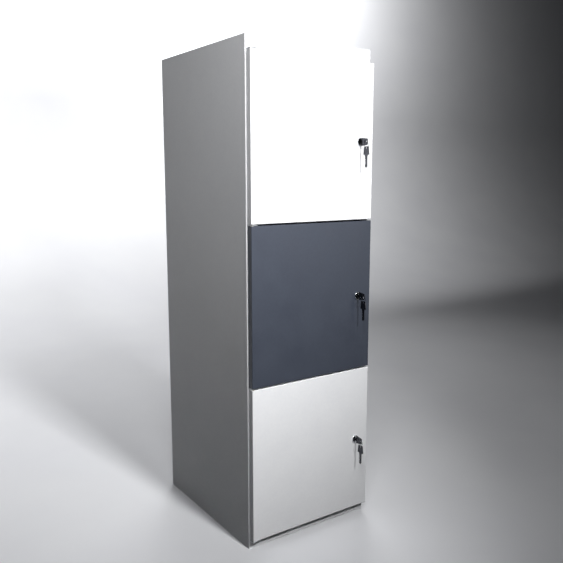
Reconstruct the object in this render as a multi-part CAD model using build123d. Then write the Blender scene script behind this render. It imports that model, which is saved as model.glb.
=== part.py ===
from build123d import *

import os
from math import cos, radians, sin

# A sheet-steel parcel locker: one column of three lockable compartments with overlay doors.
# Millimetres. +X is right, +Y goes into the depth and +Z is up, so the doors face -Y.
# The origin is the centre of the carcass footprint, on the floor.

# Carcass
WIDTH = 400.0
DEPTH = 470.0
HEIGHT = 1330.0
SHEET = 1.2
BACK_SHEET = 1.0
FOLD_RADIUS = 1.8  # outside of a fold
FRONT_FLANGE = 30.0
FLANGE_RETURN = 8.0
REAR_FLANGE = 18.0
WELD_FLANGE = 20.0  # turned down along the decks' sides
DECK_GAP = 0.5  # between a deck and the side panels
FASCIA_RETURN = 12.0
FASCIA_DEPTH = 50.0  # height of the roof's front fascia
FLOOR_LEVEL = 38.0
SHELF_SETBACK = 20.0  # shelf nosing behind the front plane
SHELF_NOSING = 25.0
STIFFENER_WIDTH = 50.0
STIFFENER_LENGTH = 390.0

# Doors
PLACES = ("lower", "middle", "upper")
BOTTOM_BAND = 28.4
DOOR_HEIGHT = 418.4
DOOR_GAP = 4.5
DOOR_REVEAL = 3.0  # side panel left showing beside a door
DOOR_THICKNESS = 17.5
DOOR_STANDOFF = 1.5  # between door and front flange
DOOR_SHEET = 1.0
DOOR_EDGE_RADIUS = 1.2
INNER_RIM = 6.0
PRESSING_DEPTH = 3.0  # stiffening field pressed into the inner panel
PRESSING_MARGIN = 42.0
PRESSING_LOCK_MARGIN = 88.0

# Hinges
PIVOT_INSET = 8.2  # from the side panel's outer face
PIVOT_FORWARD = 13.0  # in front of the front plane
PIN_RADIUS = 2.5
PIN_REACH = 10.0  # into a door
PIN_FIT = 0.05
PRESS_GAP = 0.03
BUSH_RADIUS = 3.6
BUSH_FLANGE_RADIUS = 4.6
BUSH_FLANGE = 0.7
BUSH_LENGTH = 12.0
HINGE_BLOCK = (16.0, 10.0, 14.0)
BRACKET_PLATE = 2.5
BRACKET_WIDTH = 20.6
BRACKET_INSET = 3.7
BRACKET_NOSE = 4.5  # past the pivot
BRACKET_LEG = 32.0
BRACKET_BEND = 4.0
SLOT_GAP = 0.3
SLOT_RELIEF = 2.0  # room for the bracket's bend
SCREW_INSET = 20.0
SCREW_PITCH = 13.0
SCREW_RADIUS = 2.0
SCREW_HEAD_RADIUS = 4.0
SCREW_HEAD = 1.1
SCREW_LENGTH = 7.0

# Cam lock
LOCK_INSET = 47.2  # from the side panel's outer face
HEAD_RADIUS = 11.0
HEAD_HEIGHT = 3.0
BODY_RADIUS = 9.5
BODY_FLATS = 16.0
BODY_BACK = 10.7  # behind the front plane
FACE_RECESS = 0.2
PLUG_RADIUS = 6.25
PLUG_FIT = 0.05
PLUG_LIP_RADIUS = 7.1
PLUG_LIP_FIT = 0.1
PLUG_LIP = 2.1
PLUG_BACK = 11.0
TAIL_SIDE = 7.0
NUT_ACROSS_FLATS = 23.0
NUT_HEIGHT = 5.0
WASHER_RADIUS = 8.0
WASHER_ROOT = 6.6
WASHER = 1.2
STOP_WIDTH = 2.0
STOP_CLEAR_ANGLE = 12.0
QUARTER_TURN = 90.0
CAM_PLATE = 2.0
CAM_HUB_RADIUS = 9.0
CAM_WIDTH = 15.0
CAM_REACH = 33.0
CAM_CRANK = 3.2
CAM_CRANK_START = 13.0
CAM_CRANK_RUN = 4.0
CAM_SCREW_HEAD_RADIUS = 4.5
CAM_SCREW_HEAD = 2.5
CAM_SCREW_DEPTH = 5.0

# Keys, measured from the shoulder: the blade on one side, the bow on the other
KEY_SHEET = 2.0
BLADE_LENGTH = 30.0
BLADE_HEIGHT = 7.5
KEYWAY_SIDE_GAP = 0.15
KEYWAY_EDGE_GAP = 0.2
KEYWAY_END_GAP = 0.3
BLADE_TIP = 2.6
BITTING = ((5.0, 1.1), (9.5, 2.2), (14.0, 1.5), (18.5, 2.5), (23.0, 1.2))
BITTING_WIDTH = 3.6
GROOVE_WIDTH = 1.5
GROOVE_DEPTH = 0.5
BOW_LENGTH = 26.0
BOW_NECK = 3.5
BOW_NECK_HEIGHT = 10.0
BOW_HEIGHT = 22.0
BOW_END_HEIGHT = 17.0
BOW_NECK_CORNER = 1.2
BOW_END_CORNER = 3.6
KEY_HOLE_RADIUS = 2.2
KEY_HOLE_FROM_END = 4.2
RING_RADIUS = 7.0
RING_WIRE_RADIUS = 0.7
RING_PLAY = 0.3

# Fixings
RIVET_RADIUS = 1.6
RIVET_HEAD_RADIUS = 3.2
RIVET_HEAD = 0.8
RIVET_TAIL = 2.0
RIVET_INSET = 10.0
RIVET_END_MARGIN = 65.0
RIVETS_PER_SIDE = 11
RIVETS_PER_DECK = 3
DECK_RIVET_PITCH = 120.0
BUFFER_RADIUS = 4.0
BUFFER_HEIGHT = 1.2
BUFFER_FROM_EDGE = 30.0
ANCHOR_RADIUS = 5.0
ANCHOR_SPACING = (300.0, 360.0)
WALL_HOLE_RADIUS = 4.0
WALL_HOLE_SPACING = (300.0, 1120.0)
WALL_HOLE_CENTRE = 690.0

LEFT = -WIDTH / 2
RIGHT = WIDTH / 2
FRONT = -DEPTH / 2
BACK = DEPTH / 2
BACK_INNER = BACK - BACK_SHEET
MOUTH = WIDTH / 2 - FRONT_FLANGE - 0.1  # half of the width between the flange returns
DOOR_LEFT = LEFT + DOOR_REVEAL
DOOR_RIGHT = RIGHT - DOOR_REVEAL
DOOR_BACK = FRONT - DOOR_STANDOFF
DOOR_FRONT = DOOR_BACK - DOOR_THICKNESS
PIVOT_X = LEFT + PIVOT_INSET
PIVOT_Y = FRONT - PIVOT_FORWARD
BRACKET_GAP = (DOOR_GAP - BRACKET_PLATE) / 2
LOCK_X = RIGHT - LOCK_INSET
LOCK_FACE = DOOR_FRONT - HEAD_HEIGHT + FACE_RECESS
KEY_SHOULDER = LOCK_FACE - KEYWAY_END_GAP
CAM_FRONT = FRONT + PLUG_BACK + WASHER
KEY_HOLE = BOW_LENGTH - KEY_HOLE_FROM_END
RING_DROP = KEY_HOLE_RADIUS - RING_WIRE_RADIUS - RING_PLAY


def block(x, y, z):
    """Box between two limits on each axis."""
    size = (x[1] - x[0], y[1] - y[0], z[1] - z[0])
    centre = (sum(x) / 2, sum(y) / 2, sum(z) / 2)
    return Pos(*centre) * Box(*size)


def rod(radius, start, end):
    """Cylinder between two points."""
    run = Vector(*end) - Vector(*start)
    return extrude(Plane(origin=start, z_dir=run) * Circle(radius), amount=run.length)


def fold(points, thickness, radius):
    """Cross-section of a folded sheet whose outer face follows the points clockwise."""
    outline = FilletPolyline(*points, radius=radius)
    return make_face(outline.offset_2d(thickness, side=Side.RIGHT, closed=True))


def across(section, half_width):
    """Section drawn in Y and Z, pulled out to both sides along X."""
    return extrude(Plane.YZ * section, amount=half_width, both=True)


def door_low(index):
    """Height of a door's lower edge."""
    return BOTTOM_BAND + index * (DOOR_HEIGHT + DOOR_GAP)


def bracket_levels():
    """Underside of each hinge bracket's plate, from the floor up."""
    below = [door_low(index) - BRACKET_GAP - BRACKET_PLATE for index in range(len(PLACES))]
    return below + [door_low(len(PLACES)) - DOOR_GAP + BRACKET_GAP]


def shelf_level(index):
    """Top of the shelf that stands above a door."""
    return door_low(index) + DOOR_HEIGHT + DOOR_GAP / 2


def rivet_points():
    """Places of the blind rivets that hold the back panel, as X and Z."""
    run = HEIGHT - 2 * RIVET_END_MARGIN
    side = RIGHT - RIVET_INSET
    heights = [RIVET_END_MARGIN + run * n / (RIVETS_PER_SIDE - 1) for n in range(RIVETS_PER_SIDE)]
    columns = [(x, z) for x in (-side, side) for z in heights]
    decks = [FLOOR_LEVEL, shelf_level(0), shelf_level(1), HEIGHT]
    middle = (RIVETS_PER_DECK - 1) / 2
    offsets = [(n - middle) * DECK_RIVET_PITCH for n in range(RIVETS_PER_DECK)]
    return columns + [(x, deck - RIVET_INSET) for deck in decks for x in offsets]


def cut_rivets(shape):
    """Shape with the back panel's rivet holes through it."""
    for x, z in rivet_points():
        shape -= rod(RIVET_RADIUS + PRESS_GAP, (x, BACK_INNER - 3, z), (x, BACK + 1, z))
    return shape


def side_panel():
    """Left side: one folded sheet with its front flange, return and rear flange."""
    points = [
        (LEFT + FRONT_FLANGE, FRONT + FLANGE_RETURN),
        (LEFT + FRONT_FLANGE, FRONT),
        (LEFT, FRONT),
        (LEFT, BACK_INNER),
        (LEFT + REAR_FLANGE, BACK_INNER),
    ]
    return extrude(fold(points, SHEET, FOLD_RADIUS), amount=HEIGHT)


def bracket_slot(level, upright):
    """Opening in the front flange that a hinge bracket passes through."""
    below = SLOT_GAP if upright else SLOT_RELIEF
    above = SLOT_RELIEF if upright else SLOT_GAP
    return block(
        (LEFT + BRACKET_INSET - SLOT_GAP, LEFT + BRACKET_INSET + BRACKET_WIDTH + SLOT_GAP),
        (FRONT - 1, FRONT + SHEET + 1),
        (level - below, level + BRACKET_PLATE + above),
    )


def screw_heights(level, upright):
    """Heights of the two screws that hold a hinge bracket."""
    first = level + BRACKET_PLATE - SCREW_PITCH
    if upright:
        first = level + 2 * SCREW_PITCH
    return first, first - SCREW_PITCH


def hinge_side_panel():
    """Left side panel, with its bracket slots and screw holes."""
    panel = cut_rivets(side_panel())
    for index, level in enumerate(bracket_levels()):
        panel -= bracket_slot(level, index == 0)
        for z in screw_heights(level, index == 0):
            x = LEFT + SCREW_INSET
            panel -= rod(SCREW_RADIUS + PRESS_GAP, (x, FRONT - 1, z), (x, FRONT + SHEET + 1, z))
    return panel


def deck(top, low_y):
    """Flat deck between the side panels, with a welding flange turned down at each side."""
    half = WIDTH / 2 - SHEET - DECK_GAP
    plate = block((-half, half), (low_y, BACK_INNER - SHEET - DECK_GAP), (top - SHEET, top))
    for side in (-half, half - SHEET):
        flange_y = (low_y + 10, BACK - 25)
        plate += block((side, side + SHEET), flange_y, (top - WELD_FLANGE, top))
    return plate


def folded_deck(points, top, low_y):
    """Deck joined to its folded front and rear edges, which stand between the flanges."""
    edges = across(fold(points, SHEET, FOLD_RADIUS), MOUTH)
    return cut_rivets(edges + deck(top, low_y))


def roof_panel():
    """Roof with its front fascia, set back a sheet thickness behind the flanges."""
    face = FRONT + SHEET
    low = HEIGHT - FASCIA_DEPTH
    points = [
        (face + FASCIA_RETURN, low),
        (face, low),
        (face, HEIGHT),
        (BACK_INNER, HEIGHT),
        (BACK_INNER, HEIGHT - WELD_FLANGE),
    ]
    panel = folded_deck(points, HEIGHT, FRONT + SHEET + DECK_GAP)
    edge = MOUTH + DECK_GAP + SHEET
    for slit_x in ((-edge, -MOUTH), (MOUTH, edge)):
        panel -= block(slit_x, (FRONT, FRONT + FLANGE_RETURN + DECK_GAP), (HEIGHT - 2, HEIGHT + 1))
    return panel


def floor_panel():
    """Raised floor whose front fascia and rear edge stand on the ground."""
    face = FRONT + SHEET
    points = [
        (face + FASCIA_RETURN, 0),
        (face, 0),
        (face, FLOOR_LEVEL),
        (BACK_INNER, FLOOR_LEVEL),
        (BACK_INNER, 0),
        (BACK_INNER - FASCIA_RETURN, 0),
    ]
    panel = folded_deck(points, FLOOR_LEVEL, FRONT + FLANGE_RETURN + DECK_GAP)
    for x in (-ANCHOR_SPACING[0] / 2, ANCHOR_SPACING[0] / 2):
        for y in (-ANCHOR_SPACING[1] / 2, ANCHOR_SPACING[1] / 2):
            panel -= rod(ANCHOR_RADIUS, (x, y, FLOOR_LEVEL - 5), (x, y, FLOOR_LEVEL + 1))
    return panel


def shelf(top):
    """Compartment divider, set back so that its nosing stands clear of the locks."""
    nosing = FRONT + SHELF_SETBACK
    points = [
        (nosing + FASCIA_RETURN, top - SHELF_NOSING),
        (nosing, top - SHELF_NOSING),
        (nosing, top),
        (BACK_INNER, top),
        (BACK_INNER, top - WELD_FLANGE),
    ]
    return folded_deck(points, top, nosing + FOLD_RADIUS)


def base_stiffener():
    """Hat-section channel that carries the middle of the floor."""
    top = FLOOR_LEVEL - SHEET
    half = STIFFENER_WIDTH / 2
    points = [
        (-half - WELD_FLANGE, top),
        (-half, top),
        (-half, SHEET),
        (half, SHEET),
        (half, top),
        (half + WELD_FLANGE, top),
    ]
    return across(fold(points, SHEET, FOLD_RADIUS), STIFFENER_LENGTH / 2)


def back_panel():
    """Flat back sheet, with four wall-fixing holes."""
    inset = DECK_GAP
    panel = block((LEFT + inset, RIGHT - inset), (BACK_INNER, BACK), (0, HEIGHT - inset))
    for x in (-WALL_HOLE_SPACING[0] / 2, WALL_HOLE_SPACING[0] / 2):
        for step in (-WALL_HOLE_SPACING[1] / 2, WALL_HOLE_SPACING[1] / 2):
            z = WALL_HOLE_CENTRE + step
            panel -= rod(WALL_HOLE_RADIUS, (x, BACK_INNER - 1, z), (x, BACK + 1, z))
    return cut_rivets(panel)


def rivet(x, z):
    """Blind rivet: low domed head outside, set tail inside."""
    head = rod(RIVET_HEAD_RADIUS, (x, BACK, z), (x, BACK + RIVET_HEAD, z))
    head = fillet(head.edges().filter_by(GeomType.CIRCLE).sort_by(Axis.Y)[-1], RIVET_HEAD * 0.7)
    inner = BACK_INNER - SHEET
    shank = rod(RIVET_RADIUS, (x, inner, z), (x, BACK, z))
    tail = rod(RIVET_RADIUS + 0.8, (x, inner - RIVET_TAIL, z), (x, inner, z))
    return head + shank + tail


def buffer(index, from_top):
    """Rubber pad on the right flange, which the closed door meets."""
    low = door_low(index) + BUFFER_FROM_EDGE
    z = low + from_top * (DOOR_HEIGHT - 2 * BUFFER_FROM_EDGE)
    x = RIGHT - FRONT_FLANGE / 2
    pad = rod(BUFFER_RADIUS, (x, FRONT, z), (x, FRONT - BUFFER_HEIGHT, z))
    return fillet(pad.edges().filter_by(GeomType.CIRCLE).sort_by(Axis.Y)[0], BUFFER_HEIGHT / 2)


def hinge_bracket(level, upright):
    """Cranked plate that carries the pivot pin; its leg lies behind the front flange."""
    nose = PIVOT_Y - BRACKET_NOSE
    heel = FRONT + SHEET + BRACKET_PLATE
    top = level + BRACKET_PLATE
    section = fold(
        [(nose, top), (heel, top), (heel, top - BRACKET_LEG)], BRACKET_PLATE, BRACKET_BEND
    )
    bracket = across(section, BRACKET_WIDTH / 2)
    bracket = Pos(LEFT + BRACKET_INSET + BRACKET_WIDTH / 2, 0, 0) * bracket
    if upright:
        bracket = mirror(bracket, Plane.XY.offset(level + BRACKET_PLATE / 2))
    corners = bracket.edges().filter_by(Axis.Z).sort_by(Axis.Y)[:2]
    bracket = fillet(corners, BRACKET_NOSE - 1)
    hole = rod(PIN_RADIUS + PRESS_GAP, (PIVOT_X, PIVOT_Y, level - 1), (PIVOT_X, PIVOT_Y, top + 1))
    for z in screw_heights(level, upright):
        x = LEFT + SCREW_INSET
        hole += rod(SCREW_RADIUS + PRESS_GAP, (x, FRONT, z), (x, heel + 1, z))
    return bracket - hole


def hinge_pins():
    """Pivot pins: the middle two serve the doors above and below them."""
    pins = []
    levels = bracket_levels()
    for index, level in enumerate(levels):
        low = level - BRACKET_GAP - PIN_REACH if index > 0 else level
        high = level + BRACKET_PLATE
        if index < len(levels) - 1:
            high += BRACKET_GAP + PIN_REACH
        pins.append(rod(PIN_RADIUS, (PIVOT_X, PIVOT_Y, low), (PIVOT_X, PIVOT_Y, high)))
    return pins


def hinge_screws():
    """Low-head screws that hold the brackets' legs behind the left flange."""
    screws = []
    x = LEFT + SCREW_INSET
    for index, level in enumerate(bracket_levels()):
        for z in screw_heights(level, index == 0):
            head = rod(SCREW_HEAD_RADIUS, (x, FRONT - SCREW_HEAD, z), (x, FRONT, z))
            rim = head.edges().filter_by(GeomType.CIRCLE).sort_by(Axis.Y)[0]
            head = fillet(rim, SCREW_HEAD / 2)
            screws.append(head + rod(SCREW_RADIUS, (x, FRONT, z), (x, FRONT + SCREW_LENGTH, z)))
    return screws


def lock_opening(z, gap):
    """Round hole with two flats that a lock body passes through."""
    hole = rod(BODY_RADIUS + gap, (LOCK_X, DOOR_FRONT - 1, z), (LOCK_X, FRONT + 30, z))
    half = BODY_FLATS / 2 + gap
    limits = block((LOCK_X - half, LOCK_X + half), (DOOR_FRONT - 2, FRONT + 40), (z - 20, z + 20))
    return hole & limits


def bush_holes(low, radius):
    """Bores for the pivot bushes in a door's lower and upper edges."""
    high = low + DOOR_HEIGHT
    lower = rod(radius, (PIVOT_X, PIVOT_Y, low - 1), (PIVOT_X, PIVOT_Y, low + BUSH_LENGTH))
    upper = rod(radius, (PIVOT_X, PIVOT_Y, high - BUSH_LENGTH), (PIVOT_X, PIVOT_Y, high + 1))
    return lower + upper


def door_skin(low):
    """Outer door pan: the front face and its four folded edges."""
    high = low + DOOR_HEIGHT
    pan = block((DOOR_LEFT, DOOR_RIGHT), (DOOR_FRONT, DOOR_BACK), (low, high))
    pan = fillet(pan.faces().sort_by(Axis.Y)[0].edges(), DOOR_EDGE_RADIUS)
    pan -= block(
        (DOOR_LEFT + DOOR_SHEET, DOOR_RIGHT - DOOR_SHEET),
        (DOOR_FRONT + DOOR_SHEET, DOOR_BACK + 1),
        (low + DOOR_SHEET, high - DOOR_SHEET),
    )
    pan -= lock_opening(low + DOOR_HEIGHT / 2, PRESS_GAP)
    return pan - bush_holes(low, BUSH_RADIUS + PRESS_GAP)


def inner_panel(low):
    """Inner door panel: a rimmed tray with a pressed stiffening field."""
    high = low + DOOR_HEIGHT
    x = (DOOR_LEFT + DOOR_SHEET, DOOR_RIGHT - DOOR_SHEET)
    z = (low + DOOR_SHEET, high - DOOR_SHEET)
    tray = block(x, (DOOR_BACK - INNER_RIM, DOOR_BACK), z)
    tray -= block(
        (x[0] + DOOR_SHEET, x[1] - DOOR_SHEET),
        (DOOR_BACK - INNER_RIM - 1, DOOR_BACK - DOOR_SHEET),
        (z[0] + DOOR_SHEET, z[1] - DOOR_SHEET),
    )
    field_x = (DOOR_LEFT + PRESSING_MARGIN, DOOR_RIGHT - PRESSING_LOCK_MARGIN)
    field_z = (low + PRESSING_MARGIN, high - PRESSING_MARGIN)
    floor_y = DOOR_BACK - DOOR_SHEET - PRESSING_DEPTH
    field = block(field_x, (floor_y, DOOR_BACK), field_z)
    field = fillet(field.edges().filter_by(Axis.Y), 12)
    hollow = block(
        (field_x[0] + DOOR_SHEET, field_x[1] - DOOR_SHEET),
        (floor_y + DOOR_SHEET, DOOR_BACK + 1),
        (field_z[0] + DOOR_SHEET, field_z[1] - DOOR_SHEET),
    )
    hollow = fillet(hollow.edges().filter_by(Axis.Y), 11)
    return tray + field - hollow - lock_opening(low + DOOR_HEIGHT / 2, PRESS_GAP)


def hinge_blocks(low):
    """Blocks in a door's hinge-side corners that back the pivot bushes."""
    high = low + DOOR_HEIGHT
    x = (DOOR_LEFT + DOOR_SHEET, DOOR_LEFT + DOOR_SHEET + HINGE_BLOCK[0])
    y = (DOOR_FRONT + DOOR_SHEET, DOOR_FRONT + DOOR_SHEET + HINGE_BLOCK[1])
    blocks = [
        block(x, y, (low + DOOR_SHEET, low + DOOR_SHEET + HINGE_BLOCK[2])),
        block(x, y, (high - DOOR_SHEET - HINGE_BLOCK[2], high - DOOR_SHEET)),
    ]
    return [each - bush_holes(low, BUSH_RADIUS + PRESS_GAP) for each in blocks]


def pivot_bush(edge, inward):
    """Flanged bush pressed into a door edge; inward is +1 from the lower edge, -1 from the upper."""
    axis = (PIVOT_X, PIVOT_Y)
    sleeve = rod(BUSH_RADIUS, (*axis, edge), (*axis, edge + inward * BUSH_LENGTH))
    flange = rod(BUSH_FLANGE_RADIUS, (*axis, edge - inward * BUSH_FLANGE), (*axis, edge))
    bore = rod(
        PIN_RADIUS + PIN_FIT, (*axis, edge - inward * 2), (*axis, edge + inward * (BUSH_LENGTH + 1))
    )
    return sleeve + flange - bore


def lock_housing(z):
    """Threaded lock body with two flats, a round head and a stop lug at the rear."""
    front = DOOR_FRONT - HEAD_HEIGHT
    back = FRONT + BODY_BACK
    head = rod(HEAD_RADIUS, (LOCK_X, front, z), (LOCK_X, DOOR_FRONT, z))
    head = fillet(head.edges().filter_by(GeomType.CIRCLE).sort_by(Axis.Y)[0], 1.1)
    body = rod(BODY_RADIUS, (LOCK_X, DOOR_FRONT, z), (LOCK_X, back, z))
    half = BODY_FLATS / 2
    body &= block((LOCK_X - half, LOCK_X + half), (DOOR_FRONT, back), (z - 20, z + 20))
    lug = block(
        (LOCK_X - STOP_WIDTH / 2, LOCK_X + STOP_WIDTH / 2),
        (back, back + WASHER),
        (z - BODY_RADIUS + 0.4, z - WASHER_ROOT - 0.4),
    )
    bore = rod(PLUG_RADIUS + PLUG_FIT, (LOCK_X, front - 1, z), (LOCK_X, back + 1, z))
    seat_depth = LOCK_FACE + PLUG_LIP + FACE_RECESS
    bore += rod(PLUG_LIP_RADIUS + PLUG_LIP_FIT, (LOCK_X, front - 1, z), (LOCK_X, seat_depth, z))
    return head + body - bore + lug


def lock_nut(z):
    """Hexagon nut that clamps the lock body against the inner panel."""
    side = Plane(origin=(LOCK_X, DOOR_BACK, z), z_dir=(0, 1, 0))
    hexagon = RegularPolygon(NUT_ACROSS_FLATS / 2, 6, major_radius=False)
    nut = extrude(side * hexagon, amount=NUT_HEIGHT)
    return nut - rod(BODY_RADIUS + PRESS_GAP, (LOCK_X, DOOR_BACK - 1, z), (LOCK_X, FRONT + 9, z))


def square_bar(side, start, end, z):
    """Square bar on the lock's axis."""
    half = side / 2
    return block((LOCK_X - half, LOCK_X + half), (start, end), (z - half, z + half))


def lock_plug(z):
    """Turning core: lip, barrel, square tail and an upright keyway."""
    plug = rod(PLUG_LIP_RADIUS, (LOCK_X, LOCK_FACE, z), (LOCK_X, LOCK_FACE + PLUG_LIP, z))
    plug += rod(PLUG_RADIUS, (LOCK_X, LOCK_FACE, z), (LOCK_X, FRONT + PLUG_BACK, z))
    tail_end = CAM_FRONT + CAM_PLATE
    plug += square_bar(TAIL_SIDE, FRONT + PLUG_BACK, tail_end - 0.2, z)
    half_x = KEY_SHEET / 2 + KEYWAY_SIDE_GAP
    half_z = BLADE_HEIGHT / 2 + KEYWAY_EDGE_GAP
    depth = KEY_SHOULDER + BLADE_LENGTH + KEYWAY_END_GAP
    keyway = block((LOCK_X - half_x, LOCK_X + half_x), (LOCK_FACE - 1, depth), (z - half_z, z + half_z))
    thread = rod(SCREW_RADIUS + PRESS_GAP, (LOCK_X, tail_end - CAM_SCREW_DEPTH, z), (LOCK_X, tail_end, z))
    return plug - keyway - thread


def stop_washer(z):
    """Washer keyed to the tail; its notch meets the housing's lug at each end of the turn."""
    front = FRONT + PLUG_BACK
    disc = rod(WASHER_RADIUS, (LOCK_X, front, z), (LOCK_X, front + WASHER, z))
    reach = WASHER_RADIUS * 2
    turns = [QUARTER_TURN - STOP_CLEAR_ANGLE, QUARTER_TURN * 1.5, 2 * QUARTER_TURN + STOP_CLEAR_ANGLE]
    corners = [(reach * sin(radians(turn)), reach * cos(radians(turn))) for turn in turns]
    sector = make_face(Polyline((0, 0), *corners, close=True))
    face = Plane(origin=(LOCK_X, front - 1, z), x_dir=(1, 0, 0), z_dir=(0, -1, 0))
    notch = extrude(face * sector, amount=-WASHER - 2)
    notch -= rod(WASHER_ROOT, (LOCK_X, front - 2, z), (LOCK_X, front + WASHER + 2, z))
    return disc - notch - square_bar(TAIL_SIDE + 2 * PRESS_GAP, front - 1, front + WASHER + 1, z)


def lock_cam(z):
    """Cranked cam, pointing up in the unlocked position."""
    tip = CAM_FRONT - CAM_CRANK
    bend_end = CAM_CRANK_START + CAM_CRANK_RUN
    points = [
        (CAM_FRONT, z - CAM_HUB_RADIUS),
        (CAM_FRONT, z + CAM_CRANK_START),
        (tip, z + bend_end),
        (tip, z + CAM_REACH),
    ]
    bar = Pos(LOCK_X, 0, 0) * across(fold(points, CAM_PLATE, CAM_PLATE * 1.3), CAM_HUB_RADIUS)
    face = Plane(origin=(LOCK_X, FRONT, z), x_dir=(1, 0, 0), z_dir=(0, -1, 0))
    arm = Pos(0, CAM_REACH / 2) * RectangleRounded(CAM_WIDTH, CAM_REACH, CAM_WIDTH / 4)
    outline = extrude(face * (Circle(CAM_HUB_RADIUS) + arm), amount=-40)
    cam = bar & outline
    return cam - square_bar(TAIL_SIDE + 2 * PRESS_GAP, CAM_FRONT - 1, CAM_FRONT + CAM_PLATE + 1, z)


def cam_screw(z):
    """Pan-head screw that holds the cam on the plug's tail."""
    seat = CAM_FRONT + CAM_PLATE
    head = rod(CAM_SCREW_HEAD_RADIUS, (LOCK_X, seat, z), (LOCK_X, seat + CAM_SCREW_HEAD, z))
    head = fillet(head.edges().filter_by(GeomType.CIRCLE).sort_by(Axis.Y)[-1], 1.2)
    recess = square_bar(1.2, seat + 1, seat + 4, z) + block(
        (LOCK_X - 2.2, LOCK_X + 2.2), (seat + 1.2, seat + 4), (z - 0.5, z + 0.5)
    )
    return head - recess + rod(SCREW_RADIUS, (LOCK_X, seat - CAM_SCREW_DEPTH + 0.3, z), (LOCK_X, seat, z))


def key_blank():
    """Key lying flat: blade along +X from the shoulder, bow along -X, centred on its thickness."""
    half_end = BOW_END_HEIGHT / 2
    half_bow = BOW_HEIGHT / 2
    corners = [
        (-BOW_NECK, half_bow),
        (-BOW_LENGTH, half_end),
        (-BOW_LENGTH, -half_end),
        (-BOW_NECK, -half_bow),
    ]
    bow = make_face(Polyline(*corners, close=True))
    bow = fillet(bow.vertices().sort_by(Axis.X)[:2], BOW_END_CORNER)
    bow = fillet(bow.vertices().sort_by(Axis.X)[-2:], BOW_NECK_CORNER)
    neck = Pos(-BOW_NECK, 0) * Rectangle(2 * BOW_NECK, BOW_NECK_HEIGHT)
    hole = Pos(-KEY_HOLE, 0) * Circle(KEY_HOLE_RADIUS)
    return extrude(bow + neck + blade_outline() - hole, amount=KEY_SHEET / 2, both=True) - blade_groove()


def blade_outline():
    """Blade with a pointed tip and its row of cuts along one edge."""
    half = BLADE_HEIGHT / 2
    points = [
        (-1, -half),
        (BLADE_LENGTH - BLADE_TIP, -half),
        (BLADE_LENGTH, -half / 3),
        (BLADE_LENGTH, half / 3),
        (BLADE_LENGTH - BLADE_TIP, half),
        (-1, half),
    ]
    blade = make_face(Polyline(*points, close=True))
    for place, depth in BITTING:
        flat = BITTING_WIDTH / 6
        cut = [
            (place - BITTING_WIDTH / 2, half + 0.5),
            (place - flat, half - depth),
            (place + flat, half - depth),
            (place + BITTING_WIDTH / 2, half + 0.5),
        ]
        blade -= make_face(Polyline(*cut, close=True))
    return blade


def blade_groove():
    """Warding groove milled along one side of the blade."""
    top = KEY_SHEET / 2
    centre = -BLADE_HEIGHT / 5
    return block(
        (0.5, BLADE_LENGTH + 1),
        (centre - GROOVE_WIDTH / 2, centre + GROOVE_WIDTH / 2),
        (top - GROOVE_DEPTH, top + 1),
    )


def inserted_key(z):
    """Key in its lock: the blade points into the door and stands upright."""
    place = Plane(origin=(LOCK_X, KEY_SHOULDER, z), x_dir=(0, 1, 0), z_dir=(1, 0, 0))
    return place * key_blank()


def ring_top(z):
    """Where the ring's wire passes through the inserted key's hole."""
    return LOCK_X, KEY_SHOULDER - KEY_HOLE, z - RING_DROP


def key_ring(z):
    """Wire ring that hangs through the inserted key's hole."""
    x, y, top = ring_top(z)
    place = Plane(origin=(x, y, top - RING_RADIUS), z_dir=(0, 1, 0))
    return place * Torus(RING_RADIUS, RING_WIRE_RADIUS)


def spare_key(z):
    """Second key, hanging from the ring with its blade straight down."""
    x, y, top = ring_top(z)
    shoulder = top - 2 * RING_RADIUS - RING_DROP - KEY_HOLE
    place = Plane(origin=(x, y, shoulder), x_dir=(0, 0, -1), z_dir=(1, 0, 0))
    return place * key_blank()


def carcass():
    """Every fixed piece of the cabinet, by node name."""
    left = hinge_side_panel()
    right = cut_rivets(mirror(side_panel(), Plane.YZ))
    pieces = {
        "side_panel_left": [left],
        "side_panel_right": [right],
        "roof_panel": [roof_panel()],
        "floor_panel": [floor_panel()],
        "back_panel": [back_panel()],
        "shelf_lower": [shelf(shelf_level(0))],
        "shelf_upper": [shelf(shelf_level(1))],
        "base_stiffener": [base_stiffener()],
        "hinge_pins": hinge_pins(),
        "hinge_screws": hinge_screws(),
        "back_rivets": [rivet(x, z) for x, z in rivet_points()],
        "door_buffers": [buffer(index, top) for index in range(len(PLACES)) for top in (0, 1)],
    }
    names = ("bottom", "lower", "upper", "top")
    for index, (name, level) in enumerate(zip(names, bracket_levels())):
        pieces["hinge_bracket_" + name] = [hinge_bracket(level, index == 0)]
    return pieces


def door(index, place):
    """Every piece of one door, its lock and its keys, by node name."""
    low = door_low(index)
    z = low + DOOR_HEIGHT / 2
    return {
        place + "_door_skin": [door_skin(low)],
        place + "_door_inner_panel": [inner_panel(low)],
        place + "_hinge_blocks": hinge_blocks(low),
        place + "_pivot_bushes": [pivot_bush(low, 1), pivot_bush(low + DOOR_HEIGHT, -1)],
        place + "_lock_housing": [lock_housing(z)],
        place + "_lock_nut": [lock_nut(z)],
        place + "_lock_plug": [lock_plug(z)],
        place + "_stop_washer": [stop_washer(z)],
        place + "_lock_cam": [lock_cam(z)],
        place + "_cam_screw": [cam_screw(z)],
        place + "_key": [inserted_key(z)],
        place + "_key_ring": [key_ring(z)],
        place + "_spare_key": [spare_key(z)],
    }


def save(pieces):
    """Writes one STEP file for each node."""
    for name, shapes in pieces.items():
        solids = [solid for shape in shapes for solid in shape.solids()]
        export_step(Compound(children=solids), os.path.join("parts", name + ".step"))


os.makedirs("parts", exist_ok=True)
save(carcass())
for number, name_of_place in enumerate(PLACES):
    save(door(number, name_of_place))
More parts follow.
